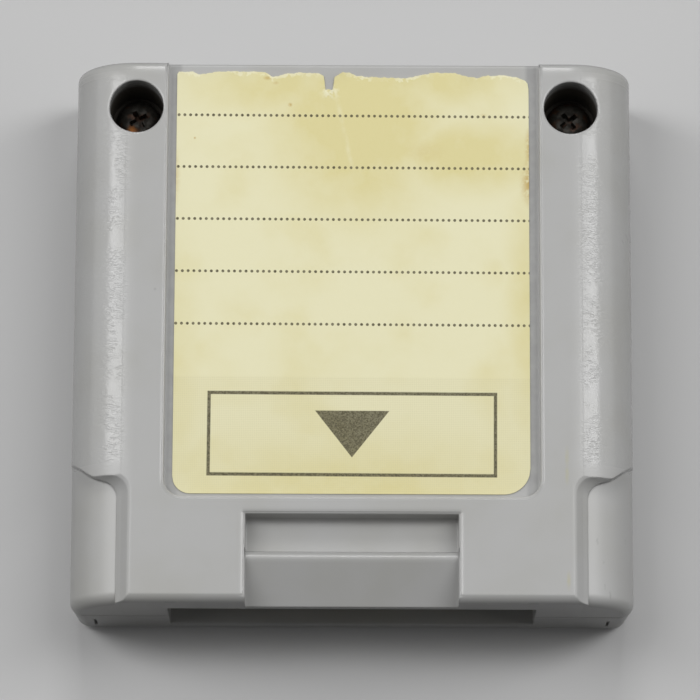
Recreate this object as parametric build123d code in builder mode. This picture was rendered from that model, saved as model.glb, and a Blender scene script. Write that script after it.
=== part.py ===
"""Console memory card: a grey two-part moulded case with a label recess, a latch
ramp and a connector mouth, around a small battery-backed memory board.

Frame: millimetres, origin at the centre of the rear face, +X to the right as the
label is read, +Y towards the screw end, +Z out of the label face.
"""
from build123d import *
import os

os.makedirs("parts", exist_ok=True)

# Case, overall
body_width = 64.0
body_length = 63.0
body_thickness = 17.6
parting_height = 8.2
wall = 2.0
face_wall = 1.8

# Case edges
shoulder_radius = 6.9
shoulder_crease = 0.07
back_edge_radius = 0.9
front_edge_radius = 1.3
rear_edge_radius = 1.5
rear_draft = 3.0
parting_bevel = 0.15
recess_edge_bevel = 0.25
step_edge_bevel = 0.3

# Joint between the two shells
lip_height = 1.0
lip_thickness = 0.9
lip_clearance = 0.1

# Screws and their wells
well_diameter = 6.2
well_side_inset = 7.1
well_back_inset = 5.4
well_wall = 1.2
boss_floor = 1.9
screw_hole_diameter = 3.0
rear_boss_wall = 1.6
screw_diameter = 2.6
screw_length = 7.0
screw_head_diameter = 5.0
screw_head_height = 1.9
screw_recess_span = 2.9
screw_recess_width = 0.8
screw_recess_depth = 1.2
thread_clearance = 0.02
screw_tip_clearance = 0.5

# Label recess and label
recess_depth = 1.0
recess_setback = 12.1
recess_corner_radius = 2.0
recess_back_radius = 0.4
well_land = 0.55
label_thickness = 0.12
label_left_margin = 0.95
label_right_margin = 1.15
label_front_margin = 0.4
label_back_margin = 0.75
label_left_radius = 2.0
label_right_radius = 3.0
tear_place = -2.7
tear_width = 1.1
tear_depth = 2.0
left_tear = (0.05, 0.2, 0.05, 0.1, 0.1, 0.4, 0.35, 0.75)
right_tear = (0.75, 0.2, 0.65, 0.6, 0.65, 0.3, 0.3, 0.5, 0.55, 1.4)

# Latch pocket and insertion ramp
latch_width = 24.0
latch_setback = 10.05
latch_depth = 2.8
crest_setback = 5.7
crest_drop = 0.4
crest_radius = 0.6
crest_wall_draft = 0.5
ramp_drop = 3.3
latch_floor_radius = 0.4

# Guide steps at the two front corners
step_drop = 1.4
step_inset = 6.75
step_length = 14.0
step_side_run = 1.3
step_back_run = 0.55
step_corner_radius = 2.0
step_flare_inset = 2.6
step_flare_start = 1.0
step_flare_end = 3.25
step_flare_radius = 4.0

# Moulding slits in the rear shell's front face
slit_inset = 2.7
slit_width = 0.3
slit_height = 3.2
slit_depth = 0.4
slit_centre = 4.2

# Connector mouth
mouth_width = 41.6
mouth_depth = 10.5
mouth_side_wall = 2.0
nose_wall = 1.25
bulkhead_thickness = 1.8

# Circuit board and its supports
board_thickness = 1.2
board_side_gap = 2.0
board_clearance = 0.3
boss_clearance = 0.6
board_back_gap = 1.0
board_corner_bevel = 0.8
tongue_setback = 1.5
tongue_bevel = 0.3
slot_clearance = 0.1
rib_thickness = 1.2
rib_reach = 3.5
rib_spacing = 13.0
ribs_per_side = 3
post_diameter = 4.2
post_inset = 4.6
post_setback = 4.2
pin_diameter = 2.0
pin_clearance = 0.1
pin_rise = 0.8

# Edge contacts
contacts_per_side = 16
contact_pitch = 2.0
contact_width = 1.3
contact_length = 7.5
contact_thickness = 0.07
contact_setback = 0.4
tongue_margin = 1.85

# Chips: bodies stand on gull-wing legs
leg_thickness = 0.2
leg_width = 0.42
leg_pitch = 1.27
leg_knee = 0.35
leg_foot = 0.5
pin_one_bevel = 0.4
chip_standoff = 0.1
chip_side_draft = 7.0
memory_length = 18.1
memory_width = 8.4
memory_height = 2.3
memory_leg_reach = 1.7
memory_legs_per_side = 14
memory_place = (-11.5, 10.4)
logic_width = 3.9
logic_height = 1.5
logic_leg_reach = 1.05
decoder_length = 8.65
decoder_legs_per_side = 7
decoder_place = (-14.0, 8.9)
power_length = 4.9
power_legs_per_side = 4
power_place = (0.0, 8.9)

# Backup cell and its welded tabs
cell_diameter = 20.0
cell_height = 3.2
cell_cap_diameter = 17.4
cell_cap_rise = 0.5
cell_place = (13.0, 11.2)
tab_width = 5.0
tab_thickness = 0.2
tab_overhang = 1.4
tab_foot = 1.8
tab_grip = 4.0

# Small parts on the board
chip_part_length = 2.0
chip_part_width = 1.25
capacitor_height = 0.85
resistor_height = 0.5
end_cap_length = 0.4
end_cap_skin = 0.05
capacitor_places = [(-14.0, 3.4), (0.0, 3.4), (8.0, 3.4), (17.0, 3.4)]
resistor_column = -1.0
resistor_first = 5.0
resistor_pitch = 3.0
resistor_count = 4
tantalum_length = 3.5
tantalum_width = 2.8
tantalum_height = 1.9
tantalum_place = (9.0, 8.5)
terminal_width = 2.2
terminal_length = 0.8
terminal_thickness = 0.15
diode_length = 2.9
diode_width = 1.3
diode_height = 1.0
diode_leg_reach = 0.55
diode_leg_pitch = 0.95
diode_leg_thickness = 0.12
diode_place = (17.0, 8.5)

# Places worked out from the sizes above
half_width = body_width / 2
front_y = -body_length / 2
back_y = body_length / 2
inner_half_width = half_width - wall
inner_front_y = front_y + wall
inner_back_y = back_y - wall
ceiling = body_thickness - recess_depth - face_wall

well_x = half_width - well_side_inset
well_y = back_y - well_back_inset
screw_seat = parting_height + boss_floor
screw_tip = screw_seat - screw_length
front_boss_radius = well_diameter / 2 + well_wall
rear_boss_radius = screw_diameter / 2 + rear_boss_wall
screw_places = [(-well_x, well_y), (well_x, well_y)]

recess_half_width = well_x - well_diameter / 2 - well_land
recess_floor = body_thickness - recess_depth
recess_front = front_y + recess_setback
face_front = front_y + 2 * front_edge_radius

bulkhead_front = front_y + mouth_depth
bulkhead_back = bulkhead_front + bulkhead_thickness
nose_width = mouth_width + 2 * mouth_side_wall
mouth_top = body_thickness - ramp_drop - nose_wall
mouth_bottom = 2 * parting_height - mouth_top

board_bottom = parting_height - board_thickness / 2
board_top = parting_height + board_thickness / 2
board_half_width = inner_half_width - board_side_gap
board_front = bulkhead_back + board_clearance
board_shoulder = well_y - front_boss_radius - boss_clearance
board_back = inner_back_y - board_back_gap
board_neck_half = well_x - front_boss_radius - boss_clearance
tongue_width = contact_pitch * (contacts_per_side - 1) + contact_width + 2 * tongue_margin
tongue_end = front_y + tongue_setback
contact_end = tongue_end + tongue_bevel + contact_setback
slot_width = tongue_width + 2 * board_clearance
post_x = board_half_width - post_inset
post_y = board_front + post_setback
post_places = [(-post_x, post_y), (post_x, post_y)]
rib_mid_y = (board_front + board_shoulder) / 2
gusset_height = parting_height - face_wall - 2 * lip_height
rib_row_places = [(side * (inner_half_width - rib_reach / 2), rib_mid_y) for side in (-1, 1)]

label_left = label_left_margin - recess_half_width
label_right = recess_half_width - label_right_margin
label_front = recess_front + label_front_margin
label_back = back_y - label_back_margin


def near_front(place):
    """Point on the board, measured back from its front edge."""
    return (place[0], board_front + place[1])


def near_back(place):
    """Point on the board, measured forward from the shoulder beside the wells."""
    return (place[0], board_shoulder - place[1])


# Outer form of the label half, before anything is cut into it
with BuildPart() as label_half:
    with BuildSketch(Plane.XZ) as shoulder_section:
        with Locations((0, parting_height)):
            Rectangle(body_width, body_thickness + shoulder_crease - parting_height,
                      align=(Align.CENTER, Align.MIN))
        fillet(shoulder_section.vertices().group_by(Axis.Y)[-1], shoulder_radius)
    extrude(amount=body_length / 2, both=True)
    back_rim = label_half.faces().sort_by(Axis.Y)[-1].edges()
    fillet(back_rim.sort_by(Axis.Z)[1:], back_edge_radius)
    front_rim = label_half.faces().sort_by(Axis.Y)[0].edges()
    fillet(front_rim.sort_by(Axis.Z)[1:], front_edge_radius)
    chamfer(label_half.faces().sort_by(Axis.Z)[0].edges(), parting_bevel)
    with Locations((0, 0, body_thickness)):
        Box(2 * body_width, 2 * body_length, shoulder_radius,
            align=(Align.CENTER, Align.CENTER, Align.MIN), mode=Mode.SUBTRACT)

# Material taken off a front corner: its floor is the outer form, set lower
with BuildPart() as guide_step:
    flare_x = half_width - step_flare_inset
    step_x = half_width - step_inset
    step_y = front_y + step_length
    step_levels = [
        (body_thickness, step_x - step_edge_bevel, step_y + step_edge_bevel),
        (body_thickness - step_edge_bevel / 2, step_x, step_y),
        (body_thickness - step_drop, step_x + step_side_run, step_y - step_back_run),
    ]
    for level, side_x, wall_y in step_levels:
        with BuildSketch(Plane.XY.offset(level)) as step_plan:
            with BuildLine():
                Polyline(
                    (side_x, front_y - step_inset),
                    (side_x, wall_y),
                    (flare_x, wall_y + step_flare_start),
                    (flare_x + 2 * step_flare_inset, wall_y + 2 * step_flare_end - step_flare_start),
                    (flare_x + 2 * step_flare_inset, front_y - step_inset),
                    close=True,
                )
            make_face()
            fillet(step_plan.vertices().sort_by_distance((side_x, wall_y, level))[:1], step_corner_radius)
            flare_corner = (flare_x, wall_y + step_flare_start, level)
            fillet(step_plan.vertices().sort_by_distance(flare_corner)[:1], step_flare_radius)
    loft(ruled=True)
    extrude(guide_step.faces().sort_by(Axis.Z)[0], amount=shoulder_radius)
    with Locations((0, 0, -step_drop)):
        add(label_half.part, mode=Mode.SUBTRACT)

# Hollow of the label half: one room behind the bulkhead, with a bay at each front corner
with BuildPart() as front_hollow:
    with BuildSketch(Plane.XY.offset(parting_height)):
        with Locations((0, inner_front_y)):
            Rectangle(2 * inner_half_width, inner_back_y - inner_front_y, align=(Align.CENTER, Align.MIN))
            Rectangle(nose_width, bulkhead_back - inner_front_y,
                      align=(Align.CENTER, Align.MIN), mode=Mode.SUBTRACT)
    extrude(amount=ceiling - parting_height)
    ceiling_edges = front_hollow.faces().sort_by(Axis.Z)[-1].edges().filter_by(Axis.Y)
    fillet(ceiling_edges.group_by(Axis.X)[0] + ceiling_edges.group_by(Axis.X)[-1], shoulder_radius - wall)

# Front shell: label recess, latch, guide steps, screw wells, and the upper half of the mouth
with BuildPart() as front_shell:
    add(label_half.part)
    add(guide_step.part, mode=Mode.SUBTRACT)
    add(mirror(guide_step.part, about=Plane.YZ, mode=Mode.PRIVATE), mode=Mode.SUBTRACT)
    with BuildSketch(Plane.XY.offset(body_thickness)) as recess_plan:
        with Locations((0, recess_front)):
            Rectangle(2 * recess_half_width, 2 * body_length, align=(Align.CENTER, Align.MIN))
        fillet(recess_plan.vertices().group_by(Axis.Y)[0], recess_corner_radius)
    extrude(amount=-recess_depth, mode=Mode.SUBTRACT)
    with BuildSketch(Plane.YZ) as latch_section:
        latch_back = front_y + latch_setback
        crest_y = front_y + crest_setback
        latch_floor = body_thickness - latch_depth
        crest_height = body_thickness - crest_drop
        ramp_slope = (ramp_drop - crest_drop) / crest_setback
        with BuildLine():
            Polyline(
                (latch_back, body_thickness + ramp_drop),
                (latch_back, latch_floor),
                (crest_y + crest_wall_draft, latch_floor),
                (crest_y, crest_height),
                (front_y - crest_setback, crest_height - 2 * crest_setback * ramp_slope),
                (front_y - crest_setback, body_thickness + ramp_drop),
                close=True,
            )
        make_face()
        fillet(latch_section.vertices().sort_by_distance((latch_back, latch_floor))[:1], latch_floor_radius)
        fillet(latch_section.vertices().sort_by_distance((crest_y, crest_height))[:1], crest_radius)
    extrude(amount=latch_width / 2, both=True, mode=Mode.SUBTRACT)
    face_edges = front_shell.faces().sort_by(Axis.Z)[-1].edges()
    rim_edges = face_edges.filter_by_position(Axis.X, -recess_half_width, recess_half_width)
    chamfer(rim_edges.filter_by_position(Axis.Y, face_front, back_y), recess_edge_bevel)
    with BuildSketch(Plane.YZ):
        with Locations((back_y - recess_back_radius, recess_floor - recess_back_radius)):
            Rectangle(recess_back_radius, recess_back_radius, align=(Align.MIN, Align.MIN))
            Circle(recess_back_radius, mode=Mode.SUBTRACT)
    extrude(amount=recess_half_width, both=True, mode=Mode.SUBTRACT)
    add(front_hollow.part, mode=Mode.SUBTRACT)
    with Locations((0, front_y, parting_height)):
        Box(mouth_width, mouth_depth, mouth_top - parting_height,
            align=(Align.CENTER, Align.MIN, Align.MIN), mode=Mode.SUBTRACT)
        Box(slot_width, mouth_depth + 2 * bulkhead_thickness, board_thickness / 2 + slot_clearance,
            align=(Align.CENTER, Align.MIN, Align.MIN), mode=Mode.SUBTRACT)
    with Locations(*[(x, y, parting_height) for x, y in screw_places]):
        Cylinder(front_boss_radius, ceiling - parting_height, align=(Align.CENTER, Align.CENTER, Align.MIN))
    with Locations(*[(x, y, body_thickness) for x, y in screw_places]):
        CounterBoreHole(screw_hole_diameter / 2, well_diameter / 2, body_thickness - screw_seat)
    with Locations(*[(x, y, board_top) for x, y in rib_row_places]):
        with GridLocations(0, rib_spacing, 1, ribs_per_side):
            Box(rib_reach, rib_thickness, ceiling - board_top - (shoulder_radius - wall) / 2,
                align=(Align.CENTER, Align.CENTER, Align.MIN))
    with BuildSketch(Plane.XY.offset(parting_height)):
        with Locations((0, inner_front_y - lip_thickness)):
            Rectangle(2 * (inner_half_width + lip_thickness),
                      inner_back_y - inner_front_y + 2 * lip_thickness, align=(Align.CENTER, Align.MIN))
        with Locations((0, inner_front_y)):
            Rectangle(2 * inner_half_width, inner_back_y - inner_front_y,
                      align=(Align.CENTER, Align.MIN), mode=Mode.SUBTRACT)
        with Locations((0, front_y)):
            Rectangle(nose_width, 2 * wall, align=(Align.CENTER, Align.MIN), mode=Mode.SUBTRACT)
    extrude(amount=-lip_height)
front_shell.part.label = "front_shell"
export_step(front_shell.part, "parts/front_shell.step")

# Rear shell: drafted tray with the lower half of the mouth, board supports and screw bosses
with BuildPart() as rear_shell:
    with BuildSketch(Plane.XZ):
        Trapezoid(body_width, parting_height, 90 - rear_draft, rotation=180, align=(Align.CENTER, Align.MAX))
    extrude(amount=body_length / 2, both=True)
    parting_rim = rear_shell.faces().sort_by(Axis.Z)[-1].edges()
    fillet(rear_shell.edges() - parting_rim, rear_edge_radius)
    chamfer(rear_shell.faces().sort_by(Axis.Z)[-1].edges(), parting_bevel)
    with BuildSketch(Plane.XY.offset(parting_height)):
        with Locations((0, inner_front_y)):
            Rectangle(2 * inner_half_width, inner_back_y - inner_front_y, align=(Align.CENTER, Align.MIN))
            Rectangle(nose_width, bulkhead_back - inner_front_y,
                      align=(Align.CENTER, Align.MIN), mode=Mode.SUBTRACT)
    extrude(amount=face_wall - parting_height, taper=rear_draft, mode=Mode.SUBTRACT)
    with BuildSketch(Plane.XY.offset(parting_height)):
        with Locations((0, inner_front_y - lip_thickness - lip_clearance)):
            Rectangle(2 * (inner_half_width + lip_thickness + lip_clearance),
                      inner_back_y - inner_front_y + 2 * (lip_thickness + lip_clearance),
                      align=(Align.CENTER, Align.MIN))
        with Locations((0, inner_front_y)):
            Rectangle(2 * inner_half_width, inner_back_y - inner_front_y,
                      align=(Align.CENTER, Align.MIN), mode=Mode.SUBTRACT)
        with Locations((0, front_y)):
            Rectangle(nose_width - 2 * lip_clearance, 2 * wall,
                      align=(Align.CENTER, Align.MIN), mode=Mode.SUBTRACT)
    extrude(amount=-lip_height - lip_clearance, mode=Mode.SUBTRACT)
    with Locations((0, front_y, parting_height)):
        Box(mouth_width, mouth_depth, parting_height - mouth_bottom,
            align=(Align.CENTER, Align.MIN, Align.MAX), mode=Mode.SUBTRACT)
        Box(slot_width, mouth_depth + 2 * bulkhead_thickness, board_thickness / 2 + slot_clearance,
            align=(Align.CENTER, Align.MIN, Align.MAX), mode=Mode.SUBTRACT)
    with Locations((0, front_y, slit_centre)):
        with GridLocations(2 * (half_width - slit_inset), 0, 2, 1):
            Box(slit_width, 2 * slit_depth, slit_height, mode=Mode.SUBTRACT)
    with Locations(*[(x, y, face_wall) for x, y in screw_places]):
        Cylinder(rear_boss_radius, parting_height - face_wall, align=(Align.CENTER, Align.CENTER, Align.MIN))
        Box(rib_thickness, well_back_inset - wall, gusset_height, align=(Align.CENTER, Align.MIN, Align.MIN))
    for side in (-1, 1):
        with Locations((side * (well_x + inner_half_width) / 2, well_y, face_wall)):
            Box(inner_half_width - well_x, rib_thickness, gusset_height,
                align=(Align.CENTER, Align.CENTER, Align.MIN))
    with Locations(*[(x, y, parting_height) for x, y in screw_places]):
        Hole(screw_diameter / 2 + thread_clearance, depth=parting_height - screw_tip + screw_tip_clearance)
    with Locations(*[(x, y, face_wall) for x, y in rib_row_places]):
        with GridLocations(0, rib_spacing, 1, ribs_per_side):
            Box(rib_reach, rib_thickness, board_bottom - face_wall,
                align=(Align.CENTER, Align.CENTER, Align.MIN))
    with Locations(*[(x, y, face_wall) for x, y in post_places]):
        Cylinder(post_diameter / 2, board_bottom - face_wall, align=(Align.CENTER, Align.CENTER, Align.MIN))
        Cylinder(pin_diameter / 2, board_top + pin_rise - face_wall,
                 align=(Align.CENTER, Align.CENTER, Align.MIN))
rear_shell.part.label = "rear_shell"
export_step(rear_shell.part, "parts/rear_shell.step")

# Case screws: cylindrical heads with a cross recess, seated at the foot of each well
with BuildPart() as case_screw:
    with BuildSketch(Plane.XZ):
        with BuildLine():
            Polyline(
                (0, screw_seat + screw_head_height),
                (0, screw_tip),
                (screw_diameter / 2, screw_tip),
                (screw_diameter / 2, screw_seat),
                (screw_head_diameter / 2, screw_seat),
                (screw_head_diameter / 2, screw_seat + screw_head_height),
                close=True,
            )
        make_face()
    revolve(axis=Axis.Z)
    with BuildSketch(Plane.XY.offset(screw_seat + screw_head_height)):
        Rectangle(screw_recess_span, screw_recess_width)
        Rectangle(screw_recess_width, screw_recess_span)
    extrude(amount=-screw_recess_depth, mode=Mode.SUBTRACT)
with BuildPart() as case_screws:
    with Locations(*screw_places):
        add(case_screw.part)
case_screws.part.label = "case_screws"
export_step(case_screws.part, "parts/case_screws.step")

# Paper label: rounded at the front, torn along the back edge with one deep nick
with BuildPart() as label:
    with BuildSketch(Plane.XY.offset(recess_floor)) as label_plan:
        tear_left = tear_place - tear_width / 2
        tear_right = tear_place + tear_width / 2
        left_steps = len(left_tear) - 1
        right_steps = len(right_tear) - 1
        left_edge_points = [
            (label_left + (tear_left - label_left) * i / left_steps, label_back - drop)
            for i, drop in enumerate(left_tear)
        ]
        right_edge_points = [
            (tear_right + (label_right - tear_right) * i / right_steps, label_back - drop)
            for i, drop in enumerate(right_tear)
        ]
        with BuildLine():
            Polyline(
                *left_edge_points,
                (tear_left, label_back - tear_depth),
                (tear_right, label_back - tear_depth),
                *right_edge_points,
                (label_right, label_front),
                (label_left, label_front),
                close=True,
            )
        make_face()
        front_corners = label_plan.vertices().group_by(Axis.Y)[0].sort_by(Axis.X)
        fillet(front_corners[0], label_left_radius)
        front_corners = label_plan.vertices().group_by(Axis.Y)[0].sort_by(Axis.X)
        fillet(front_corners[-1], label_right_radius)
    extrude(amount=label_thickness)
label.part.label = "label"
export_step(label.part, "parts/label.step")

# Circuit board: wide behind the bulkhead, necked between the wells, with the edge tongue in front
with BuildPart() as circuit_board:
    with BuildSketch(Plane.XY.offset(board_bottom)) as board_plan:
        with Locations((0, board_front)):
            Rectangle(2 * board_half_width, board_shoulder - board_front, align=(Align.CENTER, Align.MIN))
            Rectangle(2 * board_neck_half, board_back - board_front, align=(Align.CENTER, Align.MIN))
            Rectangle(tongue_width, board_front - tongue_end, align=(Align.CENTER, Align.MAX))
        rows = board_plan.vertices().group_by(Axis.Y)
        outer_corners = [row.sort_by(Axis.X)[end] for row in rows[1:] for end in (0, -1)]
        chamfer(outer_corners, board_corner_bevel)
        with Locations(*post_places):
            Circle(pin_diameter / 2 + pin_clearance, mode=Mode.SUBTRACT)
    extrude(amount=board_thickness)
    tongue_face = circuit_board.faces().sort_by(Axis.Y)[0]
    chamfer(tongue_face.edges().filter_by(Axis.X), tongue_bevel)
circuit_board.part.label = "circuit_board"
export_step(circuit_board.part, "parts/circuit_board.step")


# Edge contacts: a row of plated strips on each face of the tongue
def contact_row(name, height):
    """One row of strips whose lower faces lie at the given height."""
    with BuildPart() as row:
        with Locations((0, contact_end + contact_length / 2, height)):
            with GridLocations(contact_pitch, 0, contacts_per_side, 1):
                Box(contact_width, contact_length, contact_thickness,
                    align=(Align.CENTER, Align.CENTER, Align.MIN))
    row.part.label = name
    export_step(row.part, f"parts/{name}.step")


contact_row("front_contacts", board_top)
contact_row("rear_contacts", board_bottom - contact_thickness)


# Chips: a moulded body drafted both ways from its legs, and two rows of gull-wing legs
def chip(name, place, along, length, width, height, reach, per_side):
    """Body and legs of one chip, its length lying along the given direction."""
    seat = Plane(origin=(*place, board_top), x_dir=along, z_dir=(0, 0, 1))
    leg_height = chip_standoff + height / 2
    with BuildPart() as body:
        with BuildSketch(seat.offset(leg_height)):
            Rectangle(length, width)
        extrude(amount=height / 2, both=True, taper=chip_side_draft)
        top_edges = body.faces().sort_by(Axis.Z)[-1].edges()
        chamfer(top_edges.sort_by_distance(seat.from_local_coords((0, -width, height)))[0], pin_one_bevel)
    body.part.label = name
    export_step(body.part, f"parts/{name}.step")
    with BuildPart() as leg:
        with BuildSketch(Plane.YZ):
            knee = width / 2 + leg_knee
            toe = width / 2 + reach
            heel = toe - leg_foot
            with BuildLine():
                Polyline(
                    (width / 2, leg_height - leg_thickness / 2),
                    (knee - leg_thickness, leg_height - leg_thickness / 2),
                    (heel - leg_thickness, 0),
                    (toe, 0),
                    (toe, leg_thickness),
                    (heel, leg_thickness),
                    (knee, leg_height + leg_thickness / 2),
                    (width / 2, leg_height + leg_thickness / 2),
                    close=True,
                )
            make_face()
        extrude(amount=leg_width / 2, both=True)
        mirror(about=Plane.XZ)
    with BuildPart() as legs:
        with Locations(seat):
            with GridLocations(leg_pitch, 0, per_side, 1):
                add(leg.part)
    legs.part.label = f"{name}_legs"
    export_step(legs.part, f"parts/{name}_legs.step")


chip("memory_chip", near_back(memory_place), (0, 1, 0), memory_length, memory_width,
     memory_height, memory_leg_reach, memory_legs_per_side)
chip("decoder_chip", near_front(decoder_place), (1, 0, 0), decoder_length, logic_width,
     logic_height, logic_leg_reach, decoder_legs_per_side)
chip("power_chip", near_front(power_place), (1, 0, 0), power_length, logic_width,
     logic_height, logic_leg_reach, power_legs_per_side)

# Backup cell: a steel can with its smaller cap face down on the lower tab
cell_x, cell_y = near_back(cell_place)
cell_bottom = board_top + tab_thickness
cell_top = cell_bottom + cell_height
with BuildPart() as coin_cell:
    with BuildSketch(Plane.XZ):
        with BuildLine():
            Polyline(
                (0, cell_bottom),
                (cell_cap_diameter / 2, cell_bottom),
                (cell_cap_diameter / 2, cell_bottom + cell_cap_rise),
                (cell_diameter / 2, cell_bottom + cell_cap_rise),
                (cell_diameter / 2, cell_top),
                (0, cell_top),
                close=True,
            )
        make_face()
    revolve(axis=Axis.Z)
with BuildPart() as placed_cell:
    with Locations((cell_x, cell_y)):
        add(coin_cell.part)
placed_cell.part.label = "coin_cell"
export_step(placed_cell.part, "parts/coin_cell.step")

# Lower tab: a strip under the cap that runs out along the board
with BuildPart() as cell_lower_tab:
    with Locations((cell_x, cell_y - cell_diameter / 2 + tab_grip, board_top)):
        Box(tab_width, tab_grip + tab_overhang + tab_foot, tab_thickness,
            align=(Align.CENTER, Align.MAX, Align.MIN))
cell_lower_tab.part.label = "cell_lower_tab"
export_step(cell_lower_tab.part, "parts/cell_lower_tab.step")

# Upper tab: a strip on the can that bends down to the board beside the cell
with BuildPart() as cell_upper_tab:
    with BuildSketch(Plane.YZ.offset(cell_x)):
        tab_start = cell_y + cell_diameter / 2 - tab_grip
        tab_bend = cell_y + cell_diameter / 2 + tab_overhang
        with BuildLine():
            Polyline(
                (tab_start, cell_top),
                (tab_bend, cell_top),
                (tab_bend, board_top),
                (tab_bend + tab_foot, board_top),
                (tab_bend + tab_foot, board_top + tab_thickness),
                (tab_bend + tab_thickness, board_top + tab_thickness),
                (tab_bend + tab_thickness, cell_top + tab_thickness),
                (tab_start, cell_top + tab_thickness),
                close=True,
            )
        make_face()
    extrude(amount=tab_width / 2, both=True)
cell_upper_tab.part.label = "cell_upper_tab"
export_step(cell_upper_tab.part, "parts/cell_upper_tab.step")


# Chip capacitors and resistors: a ceramic block between two plated ends
def chip_parts(name, ends_name, places, height):
    """Blocks and plated ends of like small parts, all lying along X."""
    with BuildPart() as blocks:
        with Locations(*[(x, y, board_top + end_cap_skin) for x, y in places]):
            Box(chip_part_length - 2 * end_cap_length, chip_part_width - 2 * end_cap_skin,
                height - 2 * end_cap_skin, align=(Align.CENTER, Align.CENTER, Align.MIN))
    blocks.part.label = name
    export_step(blocks.part, f"parts/{name}.step")
    with BuildPart() as ends:
        with Locations(*[(x, y, board_top) for x, y in places]):
            with GridLocations(chip_part_length - end_cap_length, 0, 2, 1):
                Box(end_cap_length, chip_part_width, height, align=(Align.CENTER, Align.CENTER, Align.MIN))
    ends.part.label = ends_name
    export_step(ends.part, f"parts/{ends_name}.step")


chip_parts("ceramic_capacitors", "capacitor_ends",
           [near_front(place) for place in capacitor_places], capacitor_height)
chip_parts("chip_resistors", "resistor_ends",
           [near_back((resistor_column, resistor_first + resistor_pitch * i)) for i in range(resistor_count)],
           resistor_height)

# Tantalum capacitor: a drafted block on two folded terminals
tantalum_x, tantalum_y = near_front(tantalum_place)
with BuildPart() as tantalum_capacitor:
    with BuildSketch(Plane.XY.offset(board_top + terminal_thickness)):
        with Locations((tantalum_x, tantalum_y)):
            Rectangle(tantalum_length, tantalum_width)
    extrude(amount=tantalum_height, taper=chip_side_draft)
tantalum_capacitor.part.label = "tantalum_capacitor"
export_step(tantalum_capacitor.part, "parts/tantalum_capacitor.step")
with BuildPart() as tantalum_terminals:
    with Locations((tantalum_x, tantalum_y, board_top)):
        with GridLocations(tantalum_length - terminal_length, 0, 2, 1):
            Box(terminal_length, terminal_width, terminal_thickness,
                align=(Align.CENTER, Align.CENTER, Align.MIN))
tantalum_terminals.part.label = "tantalum_terminals"
export_step(tantalum_terminals.part, "parts/tantalum_terminals.step")

# Diode: a small moulded body on three flat legs
diode_x, diode_y = near_front(diode_place)
with BuildPart() as diode:
    with BuildSketch(Plane.XY.offset(board_top + diode_leg_thickness)):
        with Locations((diode_x, diode_y)):
            Rectangle(diode_length, diode_width)
    extrude(amount=diode_height, taper=chip_side_draft)
diode.part.label = "diode"
export_step(diode.part, "parts/diode.step")
with BuildPart() as diode_legs:
    with Locations((diode_x, diode_y - diode_width / 2, board_top)):
        with GridLocations(2 * diode_leg_pitch, 0, 2, 1):
            Box(leg_width, 2 * diode_leg_reach, diode_leg_thickness,
                align=(Align.CENTER, Align.CENTER, Align.MIN))
    with Locations((diode_x, diode_y + diode_width / 2, board_top)):
        Box(leg_width, 2 * diode_leg_reach, diode_leg_thickness,
            align=(Align.CENTER, Align.CENTER, Align.MIN))
diode_legs.part.label = "diode_legs"
export_step(diode_legs.part, "parts/diode_legs.step")
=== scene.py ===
"""Dressed model of a console memory card: a worn grey two-part case with an aged paper
label, around a small battery-backed memory board."""
import bpy
import math
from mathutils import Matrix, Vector, noise as lattice


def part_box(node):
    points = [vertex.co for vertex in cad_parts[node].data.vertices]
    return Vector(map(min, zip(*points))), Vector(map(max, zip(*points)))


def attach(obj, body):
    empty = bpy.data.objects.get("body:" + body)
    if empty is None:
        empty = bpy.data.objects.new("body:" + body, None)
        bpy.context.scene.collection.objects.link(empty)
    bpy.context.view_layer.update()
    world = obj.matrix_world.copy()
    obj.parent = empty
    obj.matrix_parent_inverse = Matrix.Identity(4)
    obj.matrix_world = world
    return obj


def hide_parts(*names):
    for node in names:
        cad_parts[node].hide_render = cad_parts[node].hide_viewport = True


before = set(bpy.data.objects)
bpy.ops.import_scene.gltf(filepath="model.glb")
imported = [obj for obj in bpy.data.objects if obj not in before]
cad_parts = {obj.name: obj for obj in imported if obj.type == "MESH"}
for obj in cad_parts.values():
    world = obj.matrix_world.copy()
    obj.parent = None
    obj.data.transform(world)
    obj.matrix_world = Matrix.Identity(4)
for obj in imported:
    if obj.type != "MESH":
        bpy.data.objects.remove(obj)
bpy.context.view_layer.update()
bpy.ops.object.select_all(action="DESELECT")

# Rear shell
# The lower half of the case, injection moulded in light grey plastic with a fine matt
# grain. It carries the board and takes the two case screws.
mm = 0.001
case_grey = (0.408, 0.408, 0.402, 1.0)
case_grey_aged = (0.382, 0.380, 0.364, 1.0)
grain_size = 0.22 * mm
grain_depth = 0.0022 * mm
ripple_size = 2.6 * mm
ripple_depth = 0.006 * mm
edge_rounding = 0.25 * mm
case_roughness = (0.32, 0.40)


def surface(name, plain):
    """A node material, with its plain values set on the shader's own sockets."""
    material = bpy.data.materials.new(name)
    material.use_nodes = True
    shader = material.node_tree.nodes["Principled BSDF"]
    for socket, value in plain.items():
        shader.inputs[socket].default_value = value
    return material


def put(material, kind, inputs, **settings):
    """Adds one shader node and fills its sockets with values or links."""
    node = material.node_tree.nodes.new("ShaderNode" + kind)
    for setting, value in settings.items():
        setattr(node, setting, value)
    for socket, value in inputs.items():
        if isinstance(value, bpy.types.NodeSocket):
            material.node_tree.links.new(value, node.inputs[socket])
        else:
            node.inputs[socket].default_value = value
    return node


def place(material, stretch=(1.0, 1.0, 1.0), turn=0.0):
    """Where a point lies on the object, stretched and turned about Z."""
    point = put(material, "TexCoord", {}).outputs["Object"]
    return put(material, "Mapping", {"Vector": point, "Scale": stretch, "Rotation": (0, 0, turn)}).outputs[0]


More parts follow.
